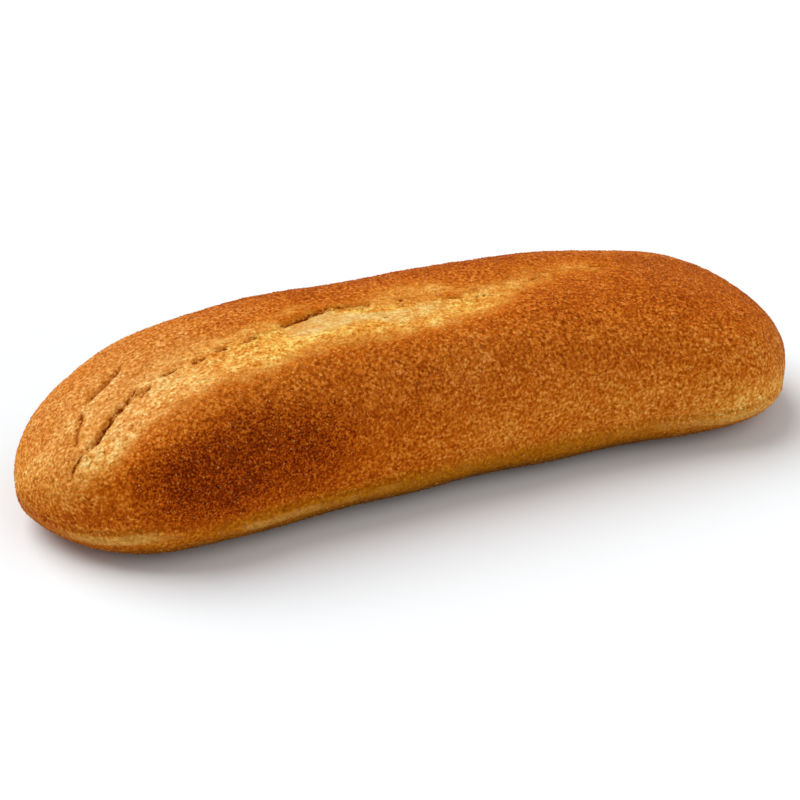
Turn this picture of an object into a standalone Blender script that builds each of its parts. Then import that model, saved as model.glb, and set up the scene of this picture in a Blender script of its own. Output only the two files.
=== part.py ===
"""Half baguette: a short crusty loaf in one piece, with one long opened cut along its top.

Metres, +Z up. The origin is the middle of the flat base. +X runs along the loaf, from the end where
the cut dives down the crust to the end where it fades out, and -Y is the front.
"""

import bmesh
import bpy
import numpy as np
from mathutils.kdtree import KDTree

MM = 0.001

# The whole loaf
LENGTH = 240 * MM
WIDTH = 75 * MM
HEIGHT = 50.5 * MM

# Rounded ends: how far from the tip the rounding starts, and how blunt it is
LEFT_PLAN_REACH, LEFT_PLAN_POWER = 41 * MM, 1.82
RIGHT_PLAN_REACH, RIGHT_PLAN_POWER = 37 * MM, 2.7
LEFT_TOP_REACH, LEFT_TOP_POWER = 82 * MM, 1.8
RIGHT_TOP_REACH, RIGHT_TOP_POWER = 138 * MM, 2.45
LEFT_BASE_REACH, RIGHT_BASE_REACH, BASE_POWER = 34 * MM, 27 * MM, 2.0

# Cross-section: heights of the widest line and of the tips, and how square the section is
WIDEST_LEVEL = 14.5 * MM
LEFT_TIP_LEVEL = 12 * MM
RIGHT_TIP_LEVEL = 13 * MM
TIP_LEVEL_REACH, TIP_LEVEL_POWER = 60 * MM, 2.0
UPPER_POWER = 2.65
LOWER_POWER = 2.75
BASE_CUT_AWAY = 2.4 * MM

# The front is drawn in at mid-length and swells out near the ends: by how much, where and how far along
FRONT_WAIST, FRONT_WAIST_REACH = 3 * MM, 55 * MM
FRONT_HIPS = (
    (1.2 * MM, -75 * MM, 14 * MM),
    (2.8 * MM, 89 * MM, 20 * MM),
)

# The opened cut, as places along the loaf and angles round it (90 is the crest, 180 the front)
CUT_PATH = (
    (-108.5 * MM, 140),
    (-104.6 * MM, 127.5),
    (-99.5 * MM, 118.3),
    (-90.6 * MM, 107),
    (-76 * MM, 99.3),
    (-60 * MM, 98.6),
    (-45 * MM, 96.3),
    (-34.6 * MM, 89.9),
    (-28.6 * MM, 87.4),
    (-18.2 * MM, 90),
    (-5 * MM, 97),
    (20 * MM, 98.5),
    (40 * MM, 89.5),
    (52 * MM, 84.5),
    (66 * MM, 87.5),
)
TROUGH_DEPTH, TROUGH_WIDTH, TROUGH_SHIFT = 1.9 * MM, 8.5 * MM, 2.5 * MM
LIP_RISE, LIP_REACH = 1.0 * MM, 5 * MM
CRACK_DEPTH, CRACK_WIDTH = 1.7 * MM, 1.2 * MM
SHOULDER_RISE, SHOULDER_WIDTH, SHOULDER_SHIFT = 0.7 * MM, 7 * MM, 17 * MM
SHOULDER_END, SHOULDER_FADE = 40 * MM, 45 * MM
# Where the lip overhangs a deep crack: the middle of each stretch and half its length
OVERHANGS = ((-97 * MM, 11 * MM), (-30 * MM, 15 * MM))
CUT_FADE_IN, CUT_FADE_OUT = 0.07, 0.2

# A shorter split beside the cut at the left end
SPLIT_PATH = ((-104.5 * MM, 114), (-99.5 * MM, 96), (-95 * MM, 91), (-87.5 * MM, 81))
SPLIT_DEPTH, SPLIT_WIDTH = 1.0 * MM, 1.6 * MM
SPLIT_LIP_RISE, SPLIT_LIP_REACH = 0.5 * MM, 4 * MM
SPLIT_FADE = 0.2

# The foot where the side turns under: the height of its rim along the loaf, and the crease above it
FOOT_PATH = (
    (-110 * MM, 10.9 * MM),
    (-80 * MM, 9.4 * MM),
    (-48 * MM, 10.4 * MM),
    (-34 * MM, 9.8 * MM),
    (0, 11.2 * MM),
    (28 * MM, 10.3 * MM),
    (60 * MM, 10.7 * MM),
    (110 * MM, 9 * MM),
)
FOOT_RISE, FOOT_WIDTH = 0.4 * MM, 2 * MM
CREASE_ABOVE_FOOT, CREASE_DEPTH, CREASE_WIDTH = 2.8 * MM, 0.45 * MM, 1.7 * MM

# Slow swells of a loaf shaped by hand: height, length along, phase, times round and phase round
SWELLS = (
    (0.45 * MM, 96 * MM, 0.6, 2, 0.4),
    (0.30 * MM, 43 * MM, 2.0, 3, 1.3),
)
SETTLED_HEIGHT = 4 * MM

# Mesh grid: cells along, across and up, with more of them beside the cut
CELLS_ALONG, CELLS_ACROSS, CELLS_UP = 64, 24, 16
END_FACE_SHARE = 0.12
LEFT_ROUND_SHARE, RIGHT_ROUND_SHARE = 0.21, 0.18
CUT_ROW = -2 / 12
CUT_ROW_LIMIT = 0.75
CUT_ROW_SPACING = 0.55
PATH_SAMPLES = 240
BASE_SNAP = 0.1 * MM
TINY = 1e-5

CRUST_COLOUR = (0.43, 0.115, 0.016, 1.0)
CRUST_ROUGHNESS = 0.62


def rounding(distance, reach, power):
    """0 at the tip of a rounded end, rising to 1 at its reach."""
    left = 1 - np.clip(distance / reach, 0, 1)
    return (1 - left**power) ** (1 / power)


def smooth_step(value):
    value = np.clip(value, 0, 1)
    return value * value * (3 - 2 * value)


def hump(distance, width):
    return np.exp(-((distance / width) ** 2))


def through(points, at):
    """The smooth curve through points, read at the given places."""
    places, values = np.array(points).T
    slopes = np.gradient(values, places)
    at = np.clip(at, places[0], places[-1])
    i = np.clip(np.searchsorted(places, at) - 1, 0, len(places) - 2)
    span = places[i + 1] - places[i]
    t = (at - places[i]) / span
    start = (1 + 2 * t) * (1 - t) ** 2 * values[i] + t * (1 - t) ** 2 * span * slopes[i]
    end = t**2 * (3 - 2 * t) * values[i + 1] - t**2 * (1 - t) * span * slopes[i + 1]
    return start + end


def plan_share(x):
    """How much of the full width the loaf has at x."""
    left = rounding(LENGTH / 2 + x, LEFT_PLAN_REACH, LEFT_PLAN_POWER)
    return left * rounding(LENGTH / 2 - x, RIGHT_PLAN_REACH, RIGHT_PLAN_POWER)


def levels(x):
    """Heights of the widest line, the top and the underside at x."""
    left, right = LENGTH / 2 + x, LENGTH / 2 - x
    left_tip = 1 - rounding(left, TIP_LEVEL_REACH, TIP_LEVEL_POWER)
    right_tip = 1 - rounding(right, TIP_LEVEL_REACH, TIP_LEVEL_POWER)
    widest = WIDEST_LEVEL + (LEFT_TIP_LEVEL - WIDEST_LEVEL) * left_tip
    widest = widest + (RIGHT_TIP_LEVEL - WIDEST_LEVEL) * right_tip
    top_share = rounding(left, LEFT_TOP_REACH, LEFT_TOP_POWER)
    top_share = top_share * rounding(right, RIGHT_TOP_REACH, RIGHT_TOP_POWER)
    base_share = rounding(left, LEFT_BASE_REACH, BASE_POWER)
    base_share = base_share * rounding(right, RIGHT_BASE_REACH, BASE_POWER)
    return widest, widest + (HEIGHT - widest) * top_share, widest * (1 - base_share)


def form(x, angle):
    """Points of the plain loaf, without its cut, crease and swells, and before its base is flat."""
    widest, top, underside = levels(x)
    across, up = np.cos(angle), np.sin(angle)
    power = np.where(up >= 0, UPPER_POWER, LOWER_POWER)
    reach = (abs(across) ** power + abs(up) ** power) ** (-1 / power)
    y = WIDTH / 2 * plan_share(x) * reach * across
    drawn_in = FRONT_WAIST * hump(x, FRONT_WAIST_REACH)
    drawn_in = drawn_in - sum(most * hump(x - at, reach) for most, at, reach in FRONT_HIPS)
    y = y + drawn_in * plan_share(x) * np.clip(-across, 0, 1)
    depth = np.where(up >= 0, top - widest, widest - underside + BASE_CUT_AWAY)
    return np.stack([x, y, widest + reach * up * depth], axis=-1)


def along(share):
    """x for a share of the way over the loaf from tip to tip, evenly spaced on its surface."""
    left = -LENGTH / 2 + LEFT_PLAN_REACH
    right = LENGTH / 2 - RIGHT_PLAN_REACH
    middle = np.interp(share, (LEFT_ROUND_SHARE, 1 - RIGHT_ROUND_SHARE), (left, right))
    left_turn = np.clip(share / LEFT_ROUND_SHARE, 0, 1) * np.pi / 2
    right_turn = np.clip((1 - share) / RIGHT_ROUND_SHARE, 0, 1) * np.pi / 2
    return middle - LEFT_PLAN_REACH * np.cos(left_turn) + RIGHT_PLAN_REACH * np.cos(right_turn)


def cut_angle(x):
    return np.radians(through(CUT_PATH, x))


def row_beside_cut(row, x):
    """Moves the rows of the top towards the cut: the row at CUT_ROW lands on it."""
    target = np.clip(1 / np.tan(cut_angle(x)), -CUT_ROW_LIMIT, CUT_ROW_LIMIT)
    side = np.where(row < CUT_ROW, -1, 1)
    t = (row - CUT_ROW) / (side - CUT_ROW)
    t = CUT_ROW_SPACING * t + (1 - CUT_ROW_SPACING) * t * t
    return target + (side - target) * t


def places_on_loaf(block):
    """Place along and angle round the loaf for points on a cube of side 2."""
    ring = np.maximum(abs(block[:, 1]), abs(block[:, 2]))
    inner = np.maximum(ring, TINY)
    share = END_FACE_SHARE + (1 - 2 * END_FACE_SHARE) * (block[:, 0] + 1) / 2
    x = along(share + block[:, 0] * END_FACE_SHARE * (1 - ring))
    across, up = block[:, 1] / inner, block[:, 2] / inner
    on_top = up > 1 - TINY
    across = np.where(on_top, row_beside_cut(across, x), across)
    return x, np.arctan2(up, across)


class Path:
    """A line on the crust, with the distance of any point from it."""

    def __init__(self, points):
        self.points = points
        x = np.linspace(points[0][0], points[-1][0], PATH_SAMPLES)
        self.tree = KDTree(PATH_SAMPLES)
        for index, place in enumerate(form(x, np.radians(through(points, x)))):
            self.tree.insert(place, index)
        self.tree.balance()

    def beside(self, places, x, angle):
        """Distance, positive towards the front, and the share of the way along the path."""
        found = [self.tree.find(place)[1:] for place in places]
        index, distance = np.array(found).T
        front = angle > np.radians(through(self.points, x))
        return np.where(front, distance, -distance), index / (PATH_SAMPLES - 1)


def fading(share, start, end):
    return smooth_step(share / start) * smooth_step((1 - share) / end)


def cut_relief(places, x, angle):
    distance, share = Path(CUT_PATH).beside(places, x, angle)
    deep = sum(hump(x - at, reach) for at, reach in OVERHANGS)
    trough = -TROUGH_DEPTH * hump(distance - TROUGH_SHIFT, TROUGH_WIDTH)
    lip = LIP_RISE * np.exp(np.minimum(distance, 0) / LIP_REACH) * (distance < -CRACK_WIDTH / 2)
    crack = -CRACK_DEPTH * hump(distance, CRACK_WIDTH)
    shoulder = SHOULDER_RISE * hump(distance - SHOULDER_SHIFT, SHOULDER_WIDTH)
    shoulder = shoulder * smooth_step((SHOULDER_END - x) / SHOULDER_FADE)
    relief = trough + shoulder + deep * (lip + crack)
    return fading(share, CUT_FADE_IN, CUT_FADE_OUT) * relief


def split_relief(places, x, angle):
    distance, share = Path(SPLIT_PATH).beside(places, x, angle)
    lip = SPLIT_LIP_RISE * np.exp(-abs(distance) / SPLIT_LIP_REACH)
    relief = lip - SPLIT_DEPTH * hump(distance, SPLIT_WIDTH)
    return fading(share, SPLIT_FADE, SPLIT_FADE) * relief


def foot_relief(places, x):
    """A crease with a fuller foot under it, weaker round the ends."""
    above_foot = places[:, 2] - through(FOOT_PATH, x)
    crease = CREASE_DEPTH * hump(above_foot - CREASE_ABOVE_FOOT, CREASE_WIDTH)
    foot = FOOT_RISE * hump(above_foot, FOOT_WIDTH)
    return (foot - crease) * plan_share(x) ** 2


def swell_relief(x, angle):
    total = 0
    for height, length, phase, times, turn in SWELLS:
        total = total + height * np.cos(2 * np.pi * x / length + phase) * np.cos(times * angle + turn)
    return total * plan_share(x)


def make_grid(mesh):
    """A cube of side 2 cut into the grid."""
    bmesh.ops.create_cube(mesh, size=2)
    for axis, cells in enumerate((CELLS_ALONG, CELLS_ACROSS, CELLS_UP)):
        ends = [(edge, edge.verts[0].co[axis], edge.verts[1].co[axis]) for edge in mesh.edges]
        long_edges = [edge for edge, low, high in ends if abs(high - low) > 1]
        bmesh.ops.subdivide_edges(mesh, edges=long_edges, cuts=cells - 1, use_grid_fill=True)


def move_to(mesh, places):
    for vertex, place in zip(mesh.verts, places):
        vertex.co = place


def raise_relief(mesh, x, angle):
    """Pushes the crust in and out along its normals, less and less towards the floor."""
    mesh.normal_update()
    places = np.array([vertex.co for vertex in mesh.verts])
    normals = np.array([vertex.normal for vertex in mesh.verts])
    relief = cut_relief(places, x, angle) + split_relief(places, x, angle)
    relief = relief + foot_relief(places, x) + swell_relief(x, angle)
    relief = relief * smooth_step(places[:, 2] / SETTLED_HEIGHT)
    places = places + normals * relief[:, None]
    middle = (places.min(axis=0) + places.max(axis=0)) / 2
    move_to(mesh, places - (middle[0], middle[1], 0))


def cut_flat_base(mesh):
    """Slices the rounded underside off at the floor and closes it with one flat face."""
    everything = mesh.verts[:] + mesh.edges[:] + mesh.faces[:]
    bmesh.ops.bisect_plane(
        mesh, geom=everything, dist=BASE_SNAP, plane_co=(0, 0, 0), plane_no=(0, 0, -1), clear_outer=True
    )
    rim = [edge for edge in mesh.edges if edge.is_boundary]
    for edge in rim:
        for vertex in edge.verts:
            vertex.co.z = 0
    bmesh.ops.holes_fill(mesh, edges=rim, sides=0)
    bmesh.ops.recalc_face_normals(mesh, faces=mesh.faces)


def make_crust_material():
    material = bpy.data.materials.new("browned_crust")
    material.use_nodes = True
    shader = material.node_tree.nodes["Principled BSDF"]
    shader.inputs["Base Color"].default_value = CRUST_COLOUR
    shader.inputs["Roughness"].default_value = CRUST_ROUGHNESS
    shader.inputs["Metallic"].default_value = 0
    return material


def make_loaf(collection):
    mesh = bmesh.new()
    make_grid(mesh)
    block = np.array([vertex.co for vertex in mesh.verts])
    x, angle = places_on_loaf(block)
    move_to(mesh, form(x, angle))
    raise_relief(mesh, x, angle)
    cut_flat_base(mesh)
    data = bpy.data.meshes.new("loaf")
    mesh.to_mesh(data)
    mesh.free()
    data.shade_smooth()
    data.materials.append(make_crust_material())
    collection.objects.link(bpy.data.objects.new("loaf", data))


def main():
    for thing in list(bpy.data.objects):
        bpy.data.objects.remove(thing)
    collection = bpy.data.collections.new("half_baguette")
    bpy.context.scene.collection.children.link(collection)
    make_loaf(collection)


main()
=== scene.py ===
"""Half baguette, finished: a browned, fine-grained crust with one long opened cut.

Metres, +Z up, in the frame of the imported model. Places on the crust are given as x along the loaf and an
angle round it: 0 is the back, 90 the crest and 180 the front.
"""

import bmesh
import bpy
import numpy as np
from mathutils import Matrix, Vector, noise
from mathutils.kdtree import KDTree


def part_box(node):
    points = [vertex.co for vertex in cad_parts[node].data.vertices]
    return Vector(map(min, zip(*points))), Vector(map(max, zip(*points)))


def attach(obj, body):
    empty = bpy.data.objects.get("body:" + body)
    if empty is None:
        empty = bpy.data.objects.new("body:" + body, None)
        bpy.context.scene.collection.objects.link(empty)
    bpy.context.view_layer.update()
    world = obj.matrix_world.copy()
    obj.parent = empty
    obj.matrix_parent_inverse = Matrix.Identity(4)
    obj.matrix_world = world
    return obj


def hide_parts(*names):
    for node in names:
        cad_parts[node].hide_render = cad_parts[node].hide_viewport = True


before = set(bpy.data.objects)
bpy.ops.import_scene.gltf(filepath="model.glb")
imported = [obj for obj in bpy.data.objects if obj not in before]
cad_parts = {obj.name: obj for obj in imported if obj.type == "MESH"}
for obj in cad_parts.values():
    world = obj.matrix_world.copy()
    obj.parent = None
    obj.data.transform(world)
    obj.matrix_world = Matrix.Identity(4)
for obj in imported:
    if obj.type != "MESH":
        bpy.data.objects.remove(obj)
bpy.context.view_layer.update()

MM = 0.001

# The whole loaf
LENGTH = 240 * MM
WIDTH = 75 * MM
HEIGHT = 50.5 * MM

# Rounded ends: how far from the tip the rounding starts, and how blunt it is
LEFT_PLAN_REACH, LEFT_PLAN_POWER = 41 * MM, 1.82
RIGHT_PLAN_REACH, RIGHT_PLAN_POWER = 37 * MM, 2.7
LEFT_TOP_REACH, LEFT_TOP_POWER = 82 * MM, 1.8
RIGHT_TOP_REACH, RIGHT_TOP_POWER = 138 * MM, 2.45
LEFT_BASE_REACH, RIGHT_BASE_REACH, BASE_POWER = 34 * MM, 27 * MM, 2.0

# Cross-section: heights of the widest line and of the tips, and how square the section is
WIDEST_LEVEL = 14.5 * MM
LEFT_TIP_LEVEL = 12 * MM
RIGHT_TIP_LEVEL = 13 * MM
TIP_LEVEL_REACH, TIP_LEVEL_POWER = 60 * MM, 2.0
UPPER_POWER = 2.65
LOWER_POWER = 2.75
BASE_CUT_AWAY = 2.4 * MM

# The front is drawn in at mid-length and swells out near the ends: by how much, where and how far along
FRONT_WAIST, FRONT_WAIST_REACH = 3 * MM, 55 * MM
FRONT_HIPS = (
    (1.2 * MM, -75 * MM, 14 * MM),
    (2.8 * MM, 89 * MM, 20 * MM),
)

# The opened cut, as places along the loaf in mm and angles round it
CUT_PATH = (
    (-108.5, 140),
    (-104.6, 127.5),
    (-99.5, 118.3),
    (-90.6, 107),
    (-76, 99.3),
    (-60, 98.6),
    (-45, 96.3),
    (-34.6, 89.9),
    (-28.6, 87.4),
    (-18.2, 90),
    (-5, 97),
    (20, 98.5),
    (40, 89.5),
    (52, 84.5),
    (66, 87.5),
)
TROUGH_DEPTH, TROUGH_WIDTH, TROUGH_SHIFT = 1.9 * MM, 8.5 * MM, 2.5 * MM
LIP_RISE, LIP_REACH = 1.0 * MM, 5 * MM
LIP_EDGE = 0.8 * MM
SHOULDER_RISE, SHOULDER_WIDTH, SHOULDER_SHIFT = 0.7 * MM, 7 * MM, 17 * MM
SHOULDER_END, SHOULDER_FADE = 40 * MM, 45 * MM
# Where the lip rises over a deep crack: the middle of each stretch and half its length
OVERHANGS = ((-97 * MM, 11 * MM), (-30 * MM, 15 * MM))
CUT_FADE_IN, CUT_FADE_OUT = 0.07, 0.2

# Cracks in the opened cut: the points along each, then its depth and half width in mm and how far its back
# lip leans over it in mm
CRACKS = (
    (((-102.6, 127.4), (-101.2, 123.2), (-99.5, 119.3), (-97.2, 114.9), (-94.5, 110.6), (-90.6, 107)),
     2.0, 0.65, 0.3),
    (((-90.4, 107.6), (-88.5, 104.2), (-87.4, 101.9), (-86.3, 100)), 1.1, 0.6, 0.3),
    (((-86.6, 106.8), (-85.5, 104.9), (-84.3, 103.3), (-82.4, 102.3)), 1.0, 0.8, 0.2),
    (((-100.4, 96.5), (-99.2, 93.2), (-97.1, 91.1), (-93.8, 88.6), (-91.3, 86), (-88.3, 82.6),
      (-86.6, 78.2), (-85.9, 74.5)), 2.6, 0.85, 0.3),
    (((-105.8, 122), (-103.5, 111), (-101.9, 104), (-100.4, 97)), 0.9, 0.8, 0.1),
    (((-78.8, 98.6), (-76, 99.2), (-73.6, 99)), 0.8, 0.5, 0.3),
    (((-70.6, 99.4), (-68.2, 100.3), (-65.4, 100.2)), 0.9, 0.6, 0.3),
    (((-63, 98.6), (-61, 98.6), (-59, 99.8)), 1.4, 0.7, 0.3),
    (((-54.6, 99.8), (-52.5, 98.6), (-50.3, 98.6)), 1.1, 0.6, 0.3),
    (((-43.5, 95.2), (-40, 92.3), (-37.8, 91.2), (-34.6, 89.5), (-31.8, 87.8), (-28.6, 86.5), (-26, 86.3)),
     1.7, 0.8, 0.9),
    (((-28.6, 86.2), (-25.9, 86), (-23.9, 86.6), (-21.4, 87), (-18.2, 88), (-15.6, 89.4), (-13.6, 91)),
     1.3, 0.8, 0.3),
    (((6, 95.6), (8.6, 95.5), (11, 96.6), (13.6, 98)), 0.6, 0.45, 0.3),
    (((36, 92.4), (39.6, 89.5), (43, 86.8), (46.1, 84.6)), 0.4, 0.6, 0.2),
    (((58, 84.6), (60.2, 85.4), (63.4, 86.4), (67, 88.8)), 0.7, 0.5, 0.5),
    (((-109.4, 143.5), (-107.8, 138), (-106, 131), (-104, 124.6)), 1.0, 0.5, 0.1),
)
# A crack fades over this share of its length at each end, wanders aside and is weaker in places
CRACK_FADE = 0.16
CRACK_REACH = 7 * MM
CRACK_WANDER, CRACK_WANDER_WIDTH = 0.45 * MM, 2.2 * MM
CRACK_STRENGTH, CRACK_BREAKS = 0.75, 0.5
BREAK_WIDTH, BREAK_SHIFT = 3.2 * MM, 5 * MM
LEAN_REACH = 1.6 * MM

# Its dark line of painted shade is whole from this depth in mm, and fades out between these numbers of half
# widths away
OPEN_DEPTH = 1.1
OPEN_REACH = (4, 2)
NO_CRACK = 6

# Beside it: fresh crumb in front, fully so from this depth in mm, and crust on the leaning lip behind
FRESH_DEPTH, FRESH_REACH = 2.2, 4 * MM
LIP_CRUST_SHARE, LIP_CRUST_COVER = 1.5, 0.8
LIP_CRUST_SHIFT, LIP_CRUST_WIDTH = 1.4 * MM, 1.5 * MM

# Torn holes in the opened cut: place in mm, angle, depth and radius in mm, and how dark they are painted, as
# shade in the hole
HOLES = (
    (-17.1, 101.3, 0.7, 0.6, 0.7),
    (-12.8, 103.5, 0.9, 0.8, 0.8),
    (-11.9, 110.6, 0.6, 0.8, 0.35),
    (-5.1, 91.2, 0.6, 0.8, 0.8),
    (-5, 95.6, 0.7, 0.9, 0.3),
    (17.2, 98.8, 0.8, 0.55, 0.8),
    (19.5, 98.6, 0.9, 0.6, 0.8),
    (21.3, 100, 0.7, 0.5, 0.6),
)

# The foot where the side turns under: the height of its rim along the loaf, and the crease above it, in mm
FOOT_PATH = ((-112, 9), (-106, 9.3), (-99, 10.4), (-92, 11.5), (-86, 11.8), (-78, 10.4), (-65, 8.9),
             (-48, 9.3), (-34, 9.3), (0, 11.2), (28, 10.3), (60, 10.7), (110, 9))
FOOT_RISE, FOOT_WIDTH = 0.4 * MM, 2 * MM
CREASE_ABOVE_FOOT, CREASE_DEPTH, CREASE_WIDTH = 2.8 * MM, 0.45 * MM, 1.7 * MM

# The pale rim of the foot and its darker colour above the floor: how strong they are along the loaf, from
# 0 to 1 at places in mm, and the heights between which the foot and the edge of the base darken, partly
# browned and partly painted shade towards the floor
RIM_DROP, RIM_WIDTH, RIM_EDGE = 0.4 * MM, 1.15 * MM, 0.8 * MM
RIM_SHARE = ((-112, 0.4), (-106, 0.9), (-100, 1), (-94, 0.9), (-88, 0.5), (-82, 0.25), (-76, 0.1), (-70, 0.3),
             (-63, 0.7), (-52, 0.55), (-40, 0.45), (-28, 0.35), (-18, 0.3), (-6, 0.2), (30, 0.15), (48, 0.3),
             (62, 0.4), (76, 0.6), (86, 0.8), (97, 0.9), (106, 0.3))
FOOT_SHARE = ((-118, 0), (-100, 0.5), (-85, 1), (78, 1), (92, 0.35), (108, 0))
BASE_SHARE = ((-112, 0.4), (-102, 0.5), (-94, 0.9), (-80, 1), (80, 1), (92, 0.8), (100, 0.5), (112, 0.4))
FOOT_TOP, FOOT_BOTTOM = 15 * MM, 9 * MM
BASE_TOP, BASE_BOTTOM = 9 * MM, 4 * MM
# A thin dark line of painted shade in the crease above the rim: its height above the rim, width and share
CREASE_SHADE_ABOVE, CREASE_SHADE_WIDTH, CREASE_SHADE_SHARE = 2.1 * MM, 0.5 * MM, 0.6

# Slow swells of a loaf shaped by hand: height, length along, phase, times round and phase round
SWELLS = (
    (0.45 * MM, 96 * MM, 0.6, 2, 0.4),
    (0.30 * MM, 43 * MM, 2.0, 3, 1.3),
)
SETTLED_HEIGHT = 4 * MM

# Mesh grid: cells along, across and up, with more of them beside the cut, shaken by a share of a cell
CELLS_ALONG, CELLS_ACROSS, CELLS_UP = 336, 120, 44
END_FACE_SHARE = 0.12
LEFT_ROUND_SHARE, RIGHT_ROUND_SHARE = 0.21, 0.18
CUT_ROW = -2 / 12
CUT_ROW_LIMIT = 0.75
CUT_ROW_SPACING = 0.38
CUT_ROWS_LEFT, CUT_ROWS_RIGHT = (-118 * MM, -108 * MM), (84 * MM, 70 * MM)
CELL_SHAKE = 0.25
PATH_SAMPLES = 240
BASE_SNAP = 0.05 * MM
TINY = 1e-5
SEED = 11

# The opened band: its front and back edges as places along the loaf in mm and angles round it
BAND_FRONT = (
    (-112, 152),
    (-104, 145),
    (-97, 139),
    (-90, 130),
    (-82, 124),
    (-67, 122.5),
    (-52, 124),
    (-37, 120),
    (-22, 121),
    (-7, 121),
    (7, 117),
    (14, 115),
    (22, 112),
    (30, 104),
    (37, 97),
    (45, 92),
    (53, 90),
    (70, 87),
)
BAND_BACK = (
    (-110, 137),
    (-104, 112),
    (-98, 106),
    (-92, 101),
    (-84, 92),
    (-72, 85),
    (-60, 89),
    (-45, 86),
    (-37, 80),
    (-20, 84.5),
    (-12, 82.5),
    (-3, 77),
    (5, 79),
    (14, 87),
    (22, 88),
    (30, 86),
    (37, 82),
    (45, 79),
    (53, 77),
    (70, 80),
)
BAND_LEFT, BAND_RIGHT = -108 * MM, 66 * MM
BAND_LEFT_SOFTNESS, BAND_RIGHT_SOFTNESS = 8 * MM, 16 * MM
BAND_BACK_SOFTNESS, BAND_FRONT_SOFTNESS = 13, 20
BAND_WEAK_FROM, BAND_WEAK_TO, BAND_WEAKENING = 5 * MM, 30 * MM, 0.27
BAND_BEHIND_CUT, BEHIND_CUT = 0.34, (-2, 7)

# The smooth cream crumb that the long crack lays open
CREAM_FRONT = ((-45, 104), (-38, 107), (-31, 107.5), (-22, 105.3), (-18, 104.5), (-14, 108), (-10, 112),
               (-6, 112), (0, 108), (6, 105), (10, 103))
CREAM_BACK = ((-45, 96.5), (-40, 92.5), (-37.8, 91.4), (-34.6, 89.7), (-31.8, 88), (-28.6, 86.9),
              (-25.9, 88.6), (-22.6, 91.6), (-19, 94.8), (-15.6, 96.5), (-11.6, 97.8), (-6, 98.3),
              (0, 96.5), (5, 97.5), (10, 101))
CREAM_BACK_SOFTNESS, CREAM_FRONT_SOFTNESS = 3, 9
CREAM_LEFT_FADE, CREAM_RIGHT_FADE = 7, 5
CREAM_BROKEN, CREAM_BREAKS = 0.45, (-20 * MM, -2 * MM)

# Grain of the crust: height and width of its bumps, from broad to fine
GRAIN = ((0.16 * MM, 5.5 * MM), (0.12 * MM, 2.6 * MM), (0.10 * MM, 1.1 * MM))
TORN_GRAIN, TORN_WIDTH, TORN_STRETCH = 0.28 * MM, 2.6 * MM, 2.2
# How much smoother the cream crumb is, and the share of that smoothness that the foot's rim has
SMOOTHING, RIM_SMOOTHNESS = 0.75, 0.4

# How far the crust is browned, from 0 for cream crumb to 1 for nearly burnt: over the whole loaf, then in
# soft patches, each with its place in mm and angle, its reach to the left, right, back and front, and the
# change that it makes
TOAST = 0.57
TOAST_PATCHES = (
    # The first patch, darkest on the front flank near the left end, is partly browning and partly painted
    # shade
    (-72, 154, 20, 37, 17, 27, 0.28),
    (-120, 78, 30, 58, 80, 50, -0.27),
    (-120, 140, 20, 13, 35, 45, -0.20),
    (-109, 150, 5, 12, 14, 16, -0.09),
    (-98, 100, 10, 10, 8, 16, -0.10),
    (80, 115, 50, 60, 22, 20, 0.06),
    (0, 58, 60, 45, 14, 14, 0.07),
    (120, 158, 34, 22, 40, 60, -0.13),
    (114, 196, 40, 30, 26, 40, -0.25),
    (40, 176, 50, 60, 22, 22, -0.19),
    (25, 140, 40, 40, 16, 14, -0.03),
    (88, 82, 22, 22, 14, 10, 0.09),
    (-98, 190, 16, 14, 10, 16, -0.16),
    (-75, 66, 34, 30, 14, 8, 0.05),
    (34, 70, 22, 26, 14, 6, 0.05),
    (118, 108, 14, 10, 12, 10, 0.07),
)
# A patch ends at this many times its reach, and all of them fade out at about this height above the floor
PATCH_EDGE = 1.5
TOAST_BOTTOM = 4 * MM
BAND_TOAST, CREAM_TOAST = 0.155, 0.10

# The colours that go with the browning, of the foot, its rim and the inside of the cracks; those of the foot
# and the cracks are partly or wholly painted shade
TOAST_COLOURS = (
    (0.00, (0.83, 0.60, 0.25)),
    (0.08, (0.78, 0.47, 0.15)),
    (0.18, (0.74, 0.34, 0.08)),
    (0.35, (0.62, 0.225, 0.034)),
    (0.50, (0.555, 0.145, 0.010)),
    (0.65, (0.44, 0.098, 0.005)),
    (0.80, (0.315, 0.052, 0.002)),
    (1.00, (0.14, 0.017, 0.001)),
)
FOOT_AND_SHADE_COLOUR = (0.43, 0.142, 0.002)
BASE_EDGE_AND_SHADE_COLOUR = (0.19, 0.065, 0.002)
RIM_COLOUR = (0.66, 0.35, 0.07)
FOOT_COVER, BASE_COVER, RIM_COVER = 0.5, 0.75, 0.78
CRACK_SHADE_COLOUR = (0.23, 0.038, 0.001)
CRACK_EDGE_SHADE_COLOUR = (0.52, 0.16, 0.008)

# Painted warm shade: lower down, the crust's colour is deeper by this tint, fully so below the second height,
# and most in the hollows between its grains. Towards the left tip both heights are lower.
LOW_SHADE_TINT = (1.0, 0.82, 0.20)
LOW_SHADE_TOP, LOW_SHADE_BOTTOM = 42 * MM, 22 * MM
LOW_SHADE_LOWERED, LOW_SHADE_LOWER_END = 8 * MM, (-98 * MM, -112 * MM)
LOW_SHADE_LEAST, LOW_SHADE_IN_HOLLOWS = 0.35, 0.65

# The torn crust is more golden the further it is from the left end, and the cream crumb is a little duller
GOLD_TINT = (1.0, 0.95, 0.52)
GOLD_FROM, GOLD_TO = -100 * MM, -40 * MM
CREAM_TINT = (0.90, 0.94, 0.85)

# The palest of the grains, partly pale specks and partly painted glints, and the tones between which they
# turn to that colour
PALE_SPECK_AND_GLINT, PALE_COVER = (0.94, 0.47, 0.13), 0.58
PALE_TONES = (0.28, 0.95)

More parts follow.
